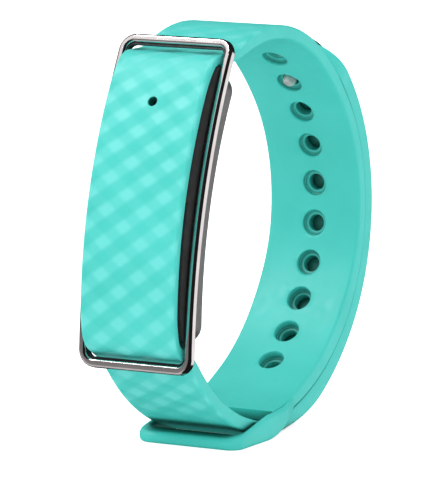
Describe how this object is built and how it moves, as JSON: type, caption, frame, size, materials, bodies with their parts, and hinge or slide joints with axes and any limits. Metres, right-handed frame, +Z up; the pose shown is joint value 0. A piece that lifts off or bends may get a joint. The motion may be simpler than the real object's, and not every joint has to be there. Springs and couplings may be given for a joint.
{
  "type": "fitness tracker band",
  "caption": "Closed elastomer wrist band threaded through a rectangular metal ring frame over a slim tracker core, with a keeper loop and a stud clasp.",
  "frame": {"origin": "centre of the bounding box at its base, where the closed band stands on its keeper loop", "axes": "+X across the strap, -Y towards the tracker's front panel, +Z up"},
  "size_m": [0.0176, 0.0592, 0.0579],
  "materials": {
    "mint_elastomer": "satin moulded elastomer",
    "stud_cap_black": "glossy",
    "stud_steel": "polished steel",
    "dark_chrome": "dark polished plating",
    "housing_black": "fine satin",
    "liner_black": "moulded",
    "seal_rubber": "matt",
    "cover_graphite": "fine satin",
    "screw_steel": "plain",
    "contact_gold": "plated",
    "spring_steel": "drawn wire",
    "chassis_plastic": "moulded",
    "board_green": "solder mask",
    "chip_black": "moulded package",
    "shield_tin": "tin plated",
    "antenna_ceramic": "fired ceramic",
    "led_package": "epoxy",
    "light_pipe_clear": "smoked clear",
    "battery_foil": "laminated foil",
    "foam_tape": "closed-cell foam",
    "nickel_tab": "nickel",
    "motor_steel": "plain",
    "rotor_weight": "sintered heavy alloy"
  },
  "bodies": {
    "band": {"strap": "mint_elastomer", "metal_frame": "dark_chrome", "frame_liner": "liner_black", "upper_housing": "housing_black", "housing_seal": "seal_rubber", "back_cover": "cover_graphite", "cover_screws": "screw_steel", "charge_contacts": "contact_gold", "contact_seals": "seal_rubber", "contact_springs": "spring_steel", "inner_chassis": "chassis_plastic", "circuit_board": "board_green", "board_screws": "screw_steel", "main_chip": "chip_black", "radio_shield": "shield_tin", "motion_sensor": "chip_black", "crystal": "shield_tin", "chip_antenna": "antenna_ceramic", "status_led": "led_package", "light_pipe": "light_pipe_clear", "battery_cell": "battery_foil", "battery_pad": "foam_tape", "battery_leads": "nickel_tab", "motor_case": "motor_steel", "motor_lid": "motor_steel", "motor_shaft": "motor_steel"},
    "tail": {"strap_tail": "mint_elastomer", "stud_cap": "stud_cap_black", "stud_pin": "stud_steel"},
    "rotor": {"motor_rotor": "rotor_weight"}
  },
  "joints": [
    {"name": "tail_peel", "type": "hinge", "parent": "band", "child": "tail", "pos_m": [0, 0.02963, 0.02963], "axis": [-1, 0, 0], "range_deg": [0, 60], "stiffness_Nm_per_rad": 0.003},
    {"name": "rotor_spin", "type": "hinge", "parent": "band", "child": "rotor", "pos_m": [0, -0.02367, 0.02441], "axis": [0, -0.9636, 0.2672], "continuous": true}
  ]
}
